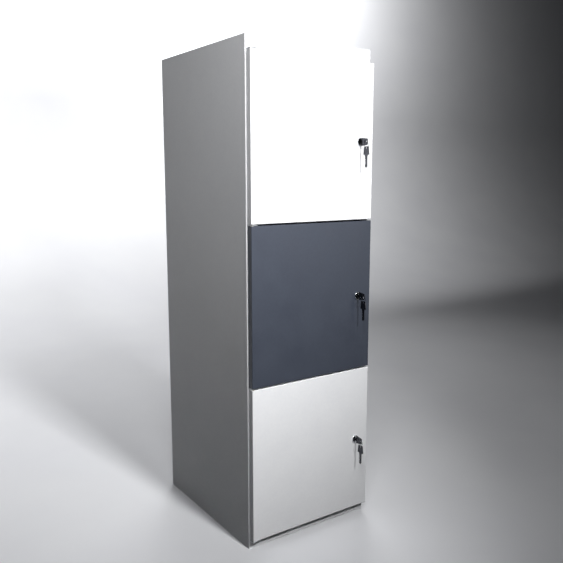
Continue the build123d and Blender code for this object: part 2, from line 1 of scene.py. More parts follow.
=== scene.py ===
"""Looks of a three-door parcel locker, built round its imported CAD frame.

The sheet-steel pieces keep their CAD shapes and get their coatings here. The small
hardware that repeats, such as rivets, screws, buffers, nuts, threads and key rings,
and the flat keys are rebuilt with finer shapes in the same places.
"""

import logging
import math
from dataclasses import dataclass, field
from enum import Enum
from typing import Any

import bmesh
import bpy
from bpy.types import Material, Mesh, Node, NodeTree, Object
from bpy.types import NodeSocket as Socket
from mathutils import Matrix, Vector


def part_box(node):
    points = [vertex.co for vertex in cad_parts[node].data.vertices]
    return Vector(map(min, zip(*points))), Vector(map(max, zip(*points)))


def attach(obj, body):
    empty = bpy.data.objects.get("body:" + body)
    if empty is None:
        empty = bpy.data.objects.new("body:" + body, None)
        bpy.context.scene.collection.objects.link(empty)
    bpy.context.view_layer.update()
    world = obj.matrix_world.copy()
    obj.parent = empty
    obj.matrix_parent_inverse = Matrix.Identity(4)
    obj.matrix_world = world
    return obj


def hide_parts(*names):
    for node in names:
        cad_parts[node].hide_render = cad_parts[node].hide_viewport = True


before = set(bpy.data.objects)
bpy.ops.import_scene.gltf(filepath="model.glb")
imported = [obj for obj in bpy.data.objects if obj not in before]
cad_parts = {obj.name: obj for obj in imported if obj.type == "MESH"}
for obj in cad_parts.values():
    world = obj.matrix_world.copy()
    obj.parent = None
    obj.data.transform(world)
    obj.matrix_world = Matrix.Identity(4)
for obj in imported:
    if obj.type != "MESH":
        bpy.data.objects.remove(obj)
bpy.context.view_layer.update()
MM = 0.001
LOG = logging.getLogger("locker")
Pair = tuple[float, float]
Triple = tuple[float, float, float]


class Place(Enum):
    """The three compartments, from the floor up."""

    LOWER = "lower"
    MIDDLE = "middle"
    UPPER = "upper"


class Facing(Enum):
    """Turn about X that points a fixing's head out of the front or the back."""

    FRONT = math.pi / 2
    BACK = -math.pi / 2


# ---- small helpers ----


def linear(colour: str) -> tuple[float, float, float, float]:
    """Turns an sRGB hex colour into linear light.

    Args:
        colour: Six hex digits after a hash sign.

    Returns:
        Red, green, blue and an alpha of one.
    """
    channels = (int(colour[start : start + 2], 16) / 255 for start in (1, 3, 5))
    red, green, blue = (c / 12.92 if c <= 0.04045 else ((c + 0.055) / 1.055) ** 2.4 for c in channels)
    return red, green, blue, 1.0


def add_node(tree: NodeTree, kind: str, inputs: dict | None = None, **settings: Any) -> Node:
    """Adds one node to a tree, with its settings and its inputs.

    Args:
        tree: The shader or geometry tree.
        kind: The node's type name.
        inputs: What each input takes, by name or number: a value, an output to link, or a
            list of outputs.
        settings: The node's own properties.

    Returns:
        The new node.
    """
    node = tree.nodes.new(kind)
    for name, value in settings.items():
        setattr(node, name, value)
    for key, value in (inputs or {}).items():
        for item in value if isinstance(value, list) else [value]:
            if isinstance(item, Socket):
                tree.links.new(item, node.inputs[key])
            else:
                node.inputs[key].default_value = item
    return node


def link_piece(name: str, mesh: Mesh) -> Object:
    """Puts a mesh in the scene at the origin.

    Args:
        name: The piece's name.
        mesh: Its mesh, already in place.

    Returns:
        The new piece.
    """
    piece = bpy.data.objects.new(name, mesh)
    bpy.context.scene.collection.objects.link(piece)
    return piece


def freeze(piece: Object) -> None:
    """Swaps a piece's mesh for what its modifiers make of it, and removes them.

    Args:
        piece: The piece to freeze.
    """
    graph = bpy.context.evaluated_depsgraph_get()
    made = bpy.data.meshes.new_from_object(piece.evaluated_get(graph))
    made.name = piece.name
    piece.modifiers.clear()
    piece.data = made


def shade(mesh: Mesh, crease: float = 32.0) -> None:
    """Shades a mesh smooth, but for the edges that turn by more than the crease in degrees."""
    mesh.polygons.foreach_set("use_smooth", [True] * len(mesh.polygons))
    mesh.set_sharp_from_angle(angle=math.radians(crease))


def on_axis(low: Vector, high: Vector, depth: float) -> Vector:
    """Gives the point at a depth along Y on the middle line of a box."""
    return Vector(((low.x + high.x) / 2, depth, (low.z + high.z) / 2))


def solid_boxes(node: str) -> list[tuple[Vector, Vector]]:
    """Finds the separate solids of a CAD node.

    Args:
        node: The node's name.

    Returns:
        The lowest and highest corner of each solid, sorted by place.
    """
    shape = bmesh.new()
    shape.from_mesh(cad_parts[node].data)
    bmesh.ops.remove_doubles(shape, verts=shape.verts, dist=1e-6)
    waiting = set(shape.verts)
    boxes = []
    while waiting:
        stack = [waiting.pop()]
        low, high = stack[0].co.copy(), stack[0].co.copy()
        while stack:
            point = stack.pop()
            low = Vector(map(min, low, point.co))
            high = Vector(map(max, high, point.co))
            near = {edge.other_vert(point) for edge in point.link_edges} & waiting
            waiting -= near
            stack.extend(near)
        boxes.append((low, high))
    shape.free()
    return sorted(boxes, key=lambda box: tuple(round(value, 5) for value in (*box[0], *box[1])))


# ---- finishes ----


@dataclass(frozen=True)
class Finish:
    """One surface finish: its colours, its gloss and the pattern that breaks both up.

    Attributes:
        name: What the material really is.
        slot: Name of its material slot; not used here.
        colour: Main colour.
        second: Colour in the pattern's hollows.
        metallic: One for bare metal, none for a coating or a plastic.
        gloss: Lowest and highest roughness.
        grain: Size of the pattern in millimetres along X, Y and Z.
        relief: Height of the pattern in millimetres.
        ior: Index of refraction.
    """

    name: str
    slot: str
    colour: str
    second: str
    metallic: float = 0.0
    gloss: Pair = (0.4, 0.5)
    grain: Triple = (2, 2, 2)
    relief: float = 0.02
    ior: float = 1.5

    def material(self) -> Material:
        """Builds the material the first time it is asked for.

        Returns:
            The material.
        """
        made = bpy.data.materials.get(self.name)
        if made is None:
            made = bpy.data.materials.new(self.name)
            made.use_nodes = True
            made.diffuse_color = linear(self.colour)
            made.node_tree.nodes.clear()
            self.wire(made.node_tree)
        return made

    def pattern(self, tree: NodeTree, grain: Triple, detail: float) -> Socket:
        """Adds a noise whose lumps have a real size.

        Args:
            tree: The material's tree.
            grain: Size of a lump in millimetres along X, Y and Z.
            detail: How much finer noise lies on the lumps.

        Returns:
            The noise's strength, between none and one.
        """
        place = add_node(tree, "ShaderNodeTexCoord").outputs["Object"]
        scale = tuple(1.0 / (size * MM) for size in grain)
        sized = add_node(tree, "ShaderNodeMapping", {"Vector": place, "Scale": scale}, vector_type="POINT")
        inputs = {"Vector": sized.outputs["Vector"], "Scale": 1.0, "Detail": detail, "Roughness": 0.55}
        return add_node(tree, "ShaderNodeTexNoise", inputs).outputs["Fac"]

    def wire(self, tree: NodeTree) -> None:
        """Lets one pattern move the colour, the roughness and the bump."""
        pattern = self.pattern(tree, self.grain, 3.0)
        self.surface(tree, pattern, pattern, pattern)

    def surface(self, tree: NodeTree, tint: Socket, gloss: Socket, relief: Socket) -> None:
        """Wires the shader and the output.

        Args:
            tree: The material's tree.
            tint: What the mix of the two colours follows.
            gloss: What the roughness follows.
            relief: What the bump follows.
        """
        spread = []
        for noise, (low, high) in ((tint, (0.0, 1.0)), (gloss, self.gloss)):
            # Nearly all of a noise lies in the middle of its range, so that part is stretched.
            inputs = {"Value": noise, "From Min": 0.3, "From Max": 0.7, "To Min": low, "To Max": high}
            spread.append(add_node(tree, "ShaderNodeMapRange", inputs).outputs["Result"])
        # Inputs 6 and 7 of the mix are its two colours.
        inputs = {0: spread[0], 6: linear(self.second), 7: linear(self.colour)}
        colour = add_node(tree, "ShaderNodeMix", inputs, data_type="RGBA").outputs[2]
        inputs = {"Height": relief, "Strength": 1.0, "Distance": self.relief * MM}
        normal = add_node(tree, "ShaderNodeBump", inputs).outputs["Normal"]
        inputs = {"Base Color": colour, "Roughness": spread[1], "Normal": normal}
        inputs |= {"Metallic": self.metallic, "IOR": self.ior}
        shader = add_node(tree, "ShaderNodeBsdfPrincipled", inputs)
        add_node(tree, "ShaderNodeOutputMaterial", {"Surface": shader.outputs["BSDF"]})


@dataclass(frozen=True)
class PowderCoat(Finish):
    """Powder coat: sprayed dry and baked, so it flows into a faint orange peel over a slow swell.

    Real orange peel is about 2 mm across, which is too fine to show at this size, so it is
    drawn at 7 mm: it softens each reflection.

    Attributes:
        grain: Size of the peel in millimetres.
        relief: Height of the peel in millimetres.
        swell: Size in millimetres of the slow change in thickness that shifts colour and gloss.
    """

    grain: Triple = (7, 7, 7)
    relief: float = 0.03
    swell: float = 70.0

    def wire(self, tree: NodeTree) -> None:
        """Wires the coat: peel makes the bump, and the swell moves the roughness.

        Args:
            tree: The material's tree.
        """
        peel = self.pattern(tree, self.grain, 1.0)
        swell = self.pattern(tree, (self.swell,) * 3, 2.0)
        both = add_node(tree, "ShaderNodeMath", {0: peel, 1: swell}, operation="ADD").outputs[0]
        half = add_node(tree, "ShaderNodeMath", {0: both, 1: 0.5}, operation="MULTIPLY").outputs[0]
        self.surface(tree, half, swell, peel)


# Polyester powder coat on steel: even and semi-gloss, with wide soft reflections.
WHITE_COAT = PowderCoat(
    "polyester_powder_coat_white", "white_powder_coat", "#F1F2F4", "#ECEDF0", gloss=(0.38, 0.48), ior=1.45
)
GRAPHITE_COAT = PowderCoat("polyester_powder_coat_graphite", "graphite_powder_coat", "#3C424E", "#383D49")
# Bright zinc plate: rolled steel that was pickled and plated, so it is silvery with cloudy
# patches some 4 mm across and a gloss that comes and goes.
ZINC_PLATE = Finish(
    "bright_zinc_plate_on_steel", "zinc_plated_steel", "#CDD0D2", "#B4B8BC", 1.0, (0.26, 0.42), (4,) * 3, 0.01
)
# Chrome over die-cast zinc: nearly a mirror, with fine wiping scratches that run one way.
# They are drawn 0.6 mm wide, since real ones are too thin to show.
CHROME = Finish(
    "chromed_die_cast_zinc", "lock_chrome", "#E2E4E6", "#D2D5D8", 1.0, (0.07, 0.17), (6, 6, 0.6), 0.002
)
# Bright nickel over a brass key stamped from rolled strip, with painted shade: its colour is darkened
# to stand for the dark room that the nickel reflects. Dark, with bright glints and grain that runs along the
# strip.
NICKEL_KEY = Finish(
    "black_nickel_plate_on_brass", "key_nickel", "#5A5B60", "#3C3D42", 1.0, (0.14, 0.26), (0.7, 5, 5), 0.006
)
# Moulded nylon: milky and slightly waxy, with a soft moulded texture of 1.5 mm.
NYLON = Finish(
    "moulded_nylon", "bush_nylon", "#E4E0D4", "#D9D4C6", 0.0, (0.42, 0.55), (1.5, 1.5, 1.5), 0.01, 1.53
)
# Drawn aluminium of a blind rivet: pale and satin, with the tool's faint marks.
RIVET_ALUMINIUM = Finish(
    "drawn_aluminium", "rivet_aluminium", "#D3D5D7", "#BDBFC2", 1.0, (0.28, 0.42), (1.2, 1.2, 1.2), 0.008
)
# Moulded rubber bumper: matt near-black with a dusty bloom in patches of 2 mm.
RUBBER = Finish(
    "moulded_rubber", "buffer_rubber", "#26272A", "#1C1D1F", 0.0, (0.68, 0.84), (2, 2, 2), 0.02, 1.52
)
# Painted studio floor: pale, soft and almost even, with slow clouds half a metre across.
STUDIO_FLOOR = Finish(
    "painted_floor", "floor", "#E6E7EA", "#E1E2E6", 0.0, (0.42, 0.5), (500, 500, 500), 0.02
)


def dress(node: str, finish: Finish) -> None:
    """Gives a carried-over CAD node its finish in every material slot.

    Args:
        node: The node's name.
        finish: Its finish.
    """
    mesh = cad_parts[node].data
    if not mesh.materials:
        mesh.materials.append(None)
    for index in range(len(mesh.materials)):
        mesh.materials[index] = finish.material()
    LOG.info("%s: %s", node, finish.name)


def settle(piece: Object, body: str, finish: Finish, *nodes: str) -> None:
    """Finishes a new piece: shading, slot, the CAD nodes it stands for and its body.

    Args:
        piece: The new piece, in place.
        body: The CAD body that carries it.
        finish: Its finish.
        nodes: CAD nodes that it replaces.
    """
    shade(piece.data)
    if not piece.data.materials:
        piece.data.materials.append(finish.material())
    if nodes:
        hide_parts(*nodes)
    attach(piece, body)
    LOG.info("%s: %d faces of %s on %s", piece.name, len(piece.data.polygons), finish.name, body)


# ---- geometry trees ----


@dataclass
class GeometryTree:
    """A Geometry Nodes tree with named inputs that turns points into finished pieces.

    Attributes:
        name: The tree's name.
        tree: The tree itself.
        start: Its group input.
        identifiers: Each named input's identifier.
    """

    name: str
    tree: NodeTree = field(init=False)
    start: Node = field(init=False)
    identifiers: dict[str, str] = field(init=False, default_factory=dict)

    def __post_init__(self) -> None:
        """Makes the empty tree with its geometry and material sockets."""
        self.tree = bpy.data.node_groups.new(self.name, "GeometryNodeTree")
        self.tree.interface.new_socket("Geometry", in_out="INPUT", socket_type="NodeSocketGeometry")
        self.tree.interface.new_socket("Geometry", in_out="OUTPUT", socket_type="NodeSocketGeometry")
        self.start = self.tree.nodes.new("NodeGroupInput")
        self.takes("Material", "NodeSocketMaterial", None)

    def takes(self, label: str, kind: str, value: Any) -> None:
        """Adds a named input.

        Args:
            label: The input's name.
            kind: Its socket type.
            value: Its default, or None to leave it empty.
        """
        socket = self.tree.interface.new_socket(label, in_out="INPUT", socket_type=kind)
        if value is not None:
            socket.default_value = value
        self.identifiers[label] = socket.identifier

    def given(self, label: str) -> Socket:
        """The group input's output of that name."""
        return self.start.outputs[label]

    def add(self, kind: str, inputs: dict | None = None, **settings: Any) -> Socket:
        """Adds a node to the tree and returns its first output."""
        return add_node(self.tree, kind, inputs, **settings).outputs[0]

    def swept(self, path: Socket, radius: Socket, sides: int) -> Socket:
        """Sweeps a round section along a curve and caps its ends.

        Args:
            path: The curve.
            radius: The section's radius.
            sides: How many sides the section has.

        Returns:
            The swept mesh.
        """
        inputs = {"Resolution": sides, "Radius": radius}
        section = self.add("GeometryNodeCurvePrimitiveCircle", inputs, mode="RADIUS")
        inputs = {"Curve": path, "Profile Curve": section, "Fill Caps": True}
        return self.add("GeometryNodeCurveToMesh", inputs)

    def close(self, geometry: Socket) -> None:
        """Ends the tree with real geometry that carries its material.

        Args:
            geometry: What the tree has made.
        """
        real = self.add("GeometryNodeRealizeInstances", {"Geometry": geometry})
        inputs = {"Geometry": real, "Material": self.given("Material")}
        add_node(self.tree, "NodeGroupOutput", {0: self.add("GeometryNodeSetMaterial", inputs)})

    def bake(self, name: str, points: list[Vector], finish: Finish, values: dict) -> Object:
        """Runs the tree on some points and keeps the plain mesh.

        Args:
            name: The new piece's name.
            points: Where its copies go.
            finish: The finish that the tree sets.
            values: The tree's inputs by name.

        Returns:
            The new piece, with no modifier.
        """
        mesh = bpy.data.meshes.new(name + "_points")
        mesh.from_pydata([tuple(point) for point in points], [], [])
        piece = link_piece(name, mesh)
        modifier = piece.modifiers.new("build", "NODES")
        modifier.node_group = self.tree
        modifier[self.identifiers["Material"]] = finish.material()
        for label, value in values.items():
            modifier[self.identifiers[label]] = value
        freeze(piece)
        return piece


# The fixing tree's lengths, in the order of a Fixing's sizes.
FIXING_LENGTHS = ("Head Radius", "Head Height", "Recess Radius", "Recess Depth", "Shank Radius")
FIXING_LENGTHS += ("Shank Length", "Tail Radius", "Tail End Radius", "Tail Length")


def fixing_tree() -> GeometryTree:
    """Builds the tree for turned fixings: a crowned head with a recess, a shank and a tail.

    Returns:
        The tree. Each copy's head points along +Z before it is tilted.
    """
    made = GeometryTree("fixing")
    for label in FIXING_LENGTHS:
        made.takes(label, "NodeSocketFloat", MM)
    for label in ("Crown", "Tilt"):
        made.takes(label, "NodeSocketFloat", 0.0)
    for label in ("Recess Sides", "Seed"):
        made.takes(label, "NodeSocketInt", 6)
    whole = made.add("GeometryNodeJoinGeometry", {0: [crowned_head(made), shank_and_tail(made)]})
    tilt = made.add("ShaderNodeCombineXYZ", {"X": made.given("Tilt")})
    inputs = {"Points": made.given("Geometry"), "Instance": whole, "Rotation": tilt}
    copies = made.add("GeometryNodeInstanceOnPoints", inputs)
    inputs = {2: 0.0, 3: math.tau, "Seed": made.given("Seed")}
    spin = add_node(made.tree, "FunctionNodeRandomValue", inputs, data_type="FLOAT").outputs[1]
    turn = made.add("ShaderNodeCombineXYZ", {"Z": spin})
    made.close(made.add("GeometryNodeRotateInstances", {"Instances": copies, "Rotation": turn}))
    return made


def crowned_head(made: GeometryTree) -> Socket:
    """Adds the head: a disc whose top follows a crown, with a recess cut into it.

    Args:
        made: The fixing tree.

    Returns:
        The head's geometry.
    """
    radius, height = made.given("Head Radius"), made.given("Head Height")
    inputs = {"Vertices": 28, "Side Segments": 1, "Fill Segments": 5, "Radius": radius, "Depth": height}
    disc = made.add("GeometryNodeMeshCylinder", inputs, fill_type="TRIANGLE_FAN")
    position = made.add("GeometryNodeInputPosition")
    place = add_node(made.tree, "ShaderNodeSeparateXYZ", {0: position}).outputs
    squares = []
    for axis in ("X", "Y"):
        share = made.add("ShaderNodeMath", {0: place[axis], 1: radius}, operation="DIVIDE")
        squares.append(made.add("ShaderNodeMath", {0: share, 1: 2.0}, operation="POWER"))
    # The top falls towards its edge as an ellipse does.
    steps = [("ADD", squares[1]), ("MULTIPLY", made.given("Crown")), ("MULTIPLY", -1.0), ("ADD", 1.0)]
    steps += [("SQRT", 0.0), ("ADD", -1.0), ("MULTIPLY", height)]
    drop = squares[0]
    for operation, value in steps:
        drop = made.add("ShaderNodeMath", {0: drop, 1: value}, operation=operation)
    offset = made.add("ShaderNodeCombineXYZ", {"Z": drop})
    top = made.add("ShaderNodeMath", {0: place["Z"], 1: 0.0}, operation="GREATER_THAN")
    domed = made.add("GeometryNodeSetPosition", {"Geometry": disc, "Selection": top, "Offset": offset})
    half = made.add("ShaderNodeMath", {0: height, 1: 0.5}, operation="MULTIPLY")
    deep = made.add("ShaderNodeMath", {0: made.given("Recess Depth"), 1: 2.0}, operation="MULTIPLY")
    inputs = {"Vertices": made.given("Recess Sides"), "Radius": made.given("Recess Radius"), "Depth": deep}
    tool = made.add("GeometryNodeMeshCylinder", inputs, fill_type="NGON")
    lifted = []
    for shape, rise in ((domed, half), (tool, height)):
        shift = made.add("ShaderNodeCombineXYZ", {"Z": rise})
        lifted.append(made.add("GeometryNodeTransform", {"Geometry": shape, "Translation": shift}))
    inputs = {"Mesh 1": lifted[0], "Mesh 2": lifted[1]}
    return made.add("GeometryNodeMeshBoolean", inputs, operation="DIFFERENCE")


def shank_and_tail(made: GeometryTree) -> Socket:
    """Adds what goes through the sheet: a plain shank and a tapered tail below it.

    Args:
        made: The fixing tree.

    Returns:
        Both, as one geometry.
    """
    length, tail = made.given("Shank Length"), made.given("Tail Length")
    inputs = {"Vertices": 16, "Radius": made.given("Shank Radius"), "Depth": length}
    shank = made.add("GeometryNodeMeshCylinder", inputs, fill_type="NGON")
    inputs = {"Vertices": 20, "Side Segments": 3, "Depth": tail}
    inputs |= {"Radius Top": made.given("Tail Radius"), "Radius Bottom": made.given("Tail End Radius")}
    cone = made.add("GeometryNodeMeshCone", inputs, fill_type="NGON")
    both = made.add("ShaderNodeMath", {0: length, 1: tail}, operation="ADD")
    parts = []
    for shape, reach, share in ((shank, length, -0.5), (cone, both, -1.0)):
        down = made.add("ShaderNodeMath", {0: reach, 1: share}, operation="MULTIPLY")
        shift = made.add("ShaderNodeCombineXYZ", {"Z": down})
        parts.append(made.add("GeometryNodeTransform", {"Geometry": shape, "Translation": shift}))
    return made.add("GeometryNodeJoinGeometry", {0: parts})


def thread_tree() -> GeometryTree:
    """Builds the tree for a lock body's thread: ridges on its two round sides.

    Returns:
        The tree. Its axis is Y and each point is the middle of a threaded length.
    """
    made = GeometryTree("lock_thread")
    for label in ("Radius", "Ridge", "Length", "Start", "Sweep"):
        made.takes(label, "NodeSocketFloat", MM)
    made.takes("Turns", "NodeSocketInt", 6)
    inputs = {"Resolution": 18, "Radius": made.given("Radius")}
    inputs |= {"Start Angle": made.given("Start"), "Sweep Angle": made.given("Sweep")}
    arc = made.add("GeometryNodeCurveArc", inputs, mode="RADIUS")
    ridge = made.swept(arc, made.given("Ridge"), 6)
    other = made.add("GeometryNodeTransform", {"Geometry": ridge, "Rotation": (0.0, 0.0, math.pi)})
    pair = made.add("GeometryNodeJoinGeometry", {0: [ridge, other]})
    upright = made.add("GeometryNodeTransform", {"Geometry": pair, "Rotation": (math.pi / 2, 0.0, 0.0)})
    half = made.add("ShaderNodeMath", {0: made.given("Length"), 1: 0.5}, operation="MULTIPLY")
    back = made.add("ShaderNodeMath", {0: half, 1: -1.0}, operation="MULTIPLY")
    first, last = (made.add("ShaderNodeCombineXYZ", {"Y": end}) for end in (back, half))
    inputs = {"Count": made.given("Turns"), "Start Location": first, "Offset": last}
    row = made.add("GeometryNodeMeshLine", inputs, mode="END_POINTS")
    ridges = made.add("GeometryNodeInstanceOnPoints", {"Points": row, "Instance": upright})
    inputs = {"Points": made.given("Geometry"), "Instance": ridges}
    made.close(made.add("GeometryNodeInstanceOnPoints", inputs))
    return made


def ring_tree() -> GeometryTree:
    """Builds the tree for a split ring: sprung wire wound into two flat turns.

    Returns:
        The tree. Its axis is Y and each point is a ring's centre.
    """
    made = GeometryTree("split_ring")
    for label in ("Radius", "Wire Radius", "Width", "Turns"):
        made.takes(label, "NodeSocketFloat", MM)
    inputs = {"Resolution": 40, "Rotations": made.given("Turns"), "Height": made.given("Width")}
    inputs |= {"Start Radius": made.given("Radius"), "End Radius": made.given("Radius")}
    wire = made.swept(made.add("GeometryNodeCurveSpiral", inputs), made.given("Wire Radius"), 10)
    down = made.add("ShaderNodeMath", {0: made.given("Width"), 1: -0.5}, operation="MULTIPLY")
    shift = made.add("ShaderNodeCombineXYZ", {"Z": down})
    centred = made.add("GeometryNodeTransform", {"Geometry": wire, "Translation": shift})
    upright = made.add("GeometryNodeTransform", {"Geometry": centred, "Rotation": (math.pi / 2, 0.0, 0.0)})
    inputs = {"Points": made.given("Geometry"), "Instance": upright}
    made.close(made.add("GeometryNodeInstanceOnPoints", inputs))
    return made


# ---- the locker ----


@dataclass(frozen=True)
class Fixing:
    """One kind of turned fixing, sized in millimetres.

    Attributes:
        head: Radius and height of the head.
        crown: How far the head falls away towards its edge, from none to one.
        recess: Radius and depth of the recess in the head.
        sides: How many sides the recess has.
        shank: Radius and length of the shank.
        tail: Radius at the shank, radius at the end, and length of the tail.
        facing: Which way the head points.
        seed: Seed of the turn that each copy gets about its own axis.
    """

    head: Pair
    crown: float
    recess: Pair
    sides: int
    shank: Pair
    tail: Triple
    facing: Facing
    seed: int

    def inputs(self) -> dict[str, float]:
        """Names the sizes as the fixing tree does, with lengths in metres.

        Returns:
            The tree's inputs by name.
        """
        lengths = (*self.head, *self.recess, *self.shank, *self.tail)
        made = {label: length * MM for label, length in zip(FIXING_LENGTHS, lengths)}
        made |= {"Crown": self.crown, "Recess Sides": self.sides, "Tilt": self.facing.value}
        return made | {"Seed": self.seed}

    def seats(self, node: str) -> list[Vector]:
        """Finds where the heads of a CAD node's fixings sit down.

        Args:
            node: The node whose solids are the fixings.

        Returns:
            The middle of the underside of each head.
        """
        height = self.head[1] * MM
        boxes = solid_boxes(node)
        if self.facing is Facing.FRONT:
            return [on_axis(low, high, low.y + height) for low, high in boxes]
        return [on_axis(low, high, high.y - height) for low, high in boxes]

    def make(self, tree: GeometryTree, name: str, body: str, finish: Finish, node: str) -> None:
        """Makes all the fixings of a CAD node as one piece, which replaces the node on its body."""
        settle(tree.bake(name, self.seats(node), finish, self.inputs()), body, finish, node)


@dataclass
class Carcass:
    """The welded cabinet: coated sheets, pivot hardware and the fixings in it.

    Attributes:
        rivet: Blind rivet of the back panel, with the hole that its mandrel left.
        screw: Low-head socket screw of the hinge brackets.
        bumper: Rubber pad that a door closes against, stuck down by a thin skin.
        body: The CAD body that carries everything here.
    """

    rivet: Fixing = Fixing((3.2, 0.8), 0.85, (0.9, 0.5), 14, (1.6, 2.2), (2.4, 1.6, 2.0), Facing.BACK, 3)
    screw: Fixing = Fixing((4.0, 1.1), 0.7, (1.45, 0.75), 6, (2.0, 6.0), (2.0, 1.4, 1.0), Facing.FRONT, 7)
    bumper: Fixing = Fixing((4.0, 1.2), 0.55, (1.1, 0.35), 16, (3.6, 0.1), (3.6, 3.6, 0.1), Facing.FRONT, 11)
    body: str = "carcass"

    def coat(self) -> None:
        """Coats the sheets white and leaves the pivot hardware plated."""
        sheets = ["side_panel_left", "side_panel_right", "roof_panel", "floor_panel", "back_panel"]
        sheets += ["shelf_lower", "shelf_upper", "base_stiffener"]
        plated = ["hinge_bracket_" + level for level in ("bottom", "lower", "upper", "top")]
        for node in sheets:
            dress(node, WHITE_COAT)
        for node in (*plated, "hinge_pins"):
            dress(node, ZINC_PLATE)

    def build(self, fixings: GeometryTree) -> None:
        """Builds and dresses the whole carcass.

        Args:
            fixings: The fixing tree.
        """
        self.coat()
        self.rivet.make(fixings, "back_blind_rivets", self.body, RIVET_ALUMINIUM, "back_rivets")
        self.screw.make(fixings, "hinge_socket_screws", self.body, ZINC_PLATE, "hinge_screws")
        self.bumper.make(fixings, "door_bumpers", self.body, RUBBER, "door_buffers")


@dataclass
class FlatKey:
    """A stamped flat key, measured in millimetres from its shoulder.

    Attributes:
        sheet: Thickness.
        blade: Length and height of the blade.
        tip: Length of the blade's pointed tip.
        cuts: Place and depth of each cut.
        cut_width: Width of a cut at its mouth.
        bow: Length of the bow, and its height at the neck and at the end.
        neck: Length and height of the neck.
        corners: Radius of the bow's corners at the neck and at the end.
        hole: Radius of the hole and its distance from the bow's end.
        bevel: Width of the edge that stamping and tumbling have rounded.
        sharp: Turn in degrees past which an edge gets that bevel.
        panel: Margin and depth of the sunk panel on each side of the bow.
        groove: Width and depth of the warding groove on each side of the blade.
        steps: Number of steps in a rounded corner.
    """

    sheet: float = 2.0
    blade: Pair = (30.0, 7.5)
    tip: float = 2.6
    cuts: tuple[Pair, ...] = ((5.0, 1.1), (9.5, 2.2), (14.0, 1.5), (18.5, 2.5), (23.0, 1.2))
    cut_width: float = 3.6
    bow: Triple = (26.0, 22.0, 17.0)
    neck: Pair = (3.5, 10.0)
    corners: Pair = (1.2, 3.6)
    hole: Pair = (2.2, 4.2)
    bevel: float = 0.18
    sharp: float = 40.0
    panel: Pair = (2.6, 0.28)
    groove: Pair = (1.5, 0.5)
    steps: int = 6

    def corner_arc(self, before: Vector, corner: Vector, after: Vector, radius: float) -> list[Vector]:
        """Rounds one corner of an outline.

        Args:
            before: The point before the corner.
            corner: The corner.
            after: The point after it.
            radius: The arc's radius.

        Returns:
            Points along the arc, stepped evenly in angle.
        """
        inward, outward = (before - corner).normalized(), (after - corner).normalized()
        half = inward.angle(outward) / 2
        centre = corner + (inward + outward).normalized() * radius / math.sin(half)
        reach = radius / math.tan(half)
        start = (corner + inward * reach - centre).normalized()
        end = (corner + outward * reach - centre).normalized()
        return [centre + start.slerp(end, step / self.steps) * radius for step in range(self.steps + 1)]

    def bow_outline(self, inset: float, stop: float) -> list[Vector]:
        """Draws the bow's rounded trapezoid.

        Args:
            inset: How far inside the edge it runs.
            stop: Where its far end lies, from the shoulder.

        Returns:
            Its points, from the neck's lower side round to the upper side.
        """
        length, wide, narrow = self.bow
        near = -self.neck[0] - inset
        slope = (wide - narrow) / 2 / (length - self.neck[0])
        half_near = wide / 2 - inset - slope * inset
        half_far = wide / 2 - inset - slope * (stop - self.neck[0])
        corners = [(near, -half_near), (-stop, -half_far), (-stop, half_far), (near, half_near)]
        corners = [Vector((x, y, 0)) for x, y in corners]
        sharpest = 0.8
        at_neck, at_end = (max(radius - inset, sharpest) for radius in self.corners)
        points = []
        for index, radius in enumerate((at_neck, at_end, at_end, at_neck)):
            points += self.corner_arc(corners[index - 1], corners[index], corners[(index + 1) % 4], radius)
        return points

    def blade_outline(self) -> list[Vector]:
        """Draws the blade from its shoulder along the cut edge, round the tip and back.

        Returns:
            The blade's points.
        """
        length, height = self.blade
        half = height / 2
        # The flanks of each cut start this far above the blade's edge.
        slack = 0.5
        points = [(0.0, half)]
        for place, depth in self.cuts:
            mouth = self.cut_width / 2
            flat = self.cut_width / 6
            run = (mouth - flat) * slack / (slack + depth)
            points += [(place - mouth + run, half), (place - flat, half - depth)]
            points += [(place + flat, half - depth), (place + mouth - run, half)]
        tip = length - self.tip
        points += [(tip, half), (length, half / 3), (length, -half / 3), (tip, -half), (0.0, -half)]
        return [Vector((x, y, 0)) for x, y in points]

    def outline(self) -> list[Vector]:
        """Draws the whole key's edge: bow, neck and blade.

        Returns:
            The key's points, once round.
        """
        length, half = self.neck[0], self.neck[1] / 2
        neck_low = [Vector((0, -half, 0)), Vector((-length, -half, 0))]
        neck_high = [Vector((-length, half, 0)), Vector((0, half, 0))]
        return neck_low + self.bow_outline(0, self.bow[0]) + neck_high + self.blade_outline()

    def plate(self, name: str, loops: list[list[Vector]], low: float, high: float) -> Object:
        """Makes a flat plate from an outline and its holes.

        Args:
            name: The object's name.
            loops: The outline and then any holes, in millimetres.
            low: Lower face.
            high: Upper face.

        Returns:
            A closed plate, in metres.
        """
        shape = bmesh.new()
        edges = []
        for loop in loops:
            ring = [shape.verts.new((point.x * MM, point.y * MM, low * MM)) for point in loop]
            edges += [shape.edges.new((ring[index - 1], ring[index])) for index in range(len(ring))]
        filled = bmesh.ops.triangle_fill(shape, edges=edges, use_beauty=True)
        faces = [item for item in filled["geom"] if isinstance(item, bmesh.types.BMFace)]
        raised = bmesh.ops.extrude_face_region(shape, geom=faces, use_keep_orig=True)
        lifted = [item for item in raised["geom"] if isinstance(item, bmesh.types.BMVert)]
        bmesh.ops.translate(shape, verts=lifted, vec=(0, 0, (high - low) * MM))
        bmesh.ops.recalc_face_normals(shape, faces=shape.faces)
        mesh = bpy.data.meshes.new(name)
        shape.to_mesh(mesh)
        shape.free()
        return link_piece(name, mesh)

    def circle(self, x: float, radius: float, steps: int = 28) -> list[Vector]:
        """Draws a circle on the key's long axis."""
        turns = (math.tau * step / steps for step in range(steps))
        return [Vector((x + radius * math.cos(turn), radius * math.sin(turn), 0)) for turn in turns]

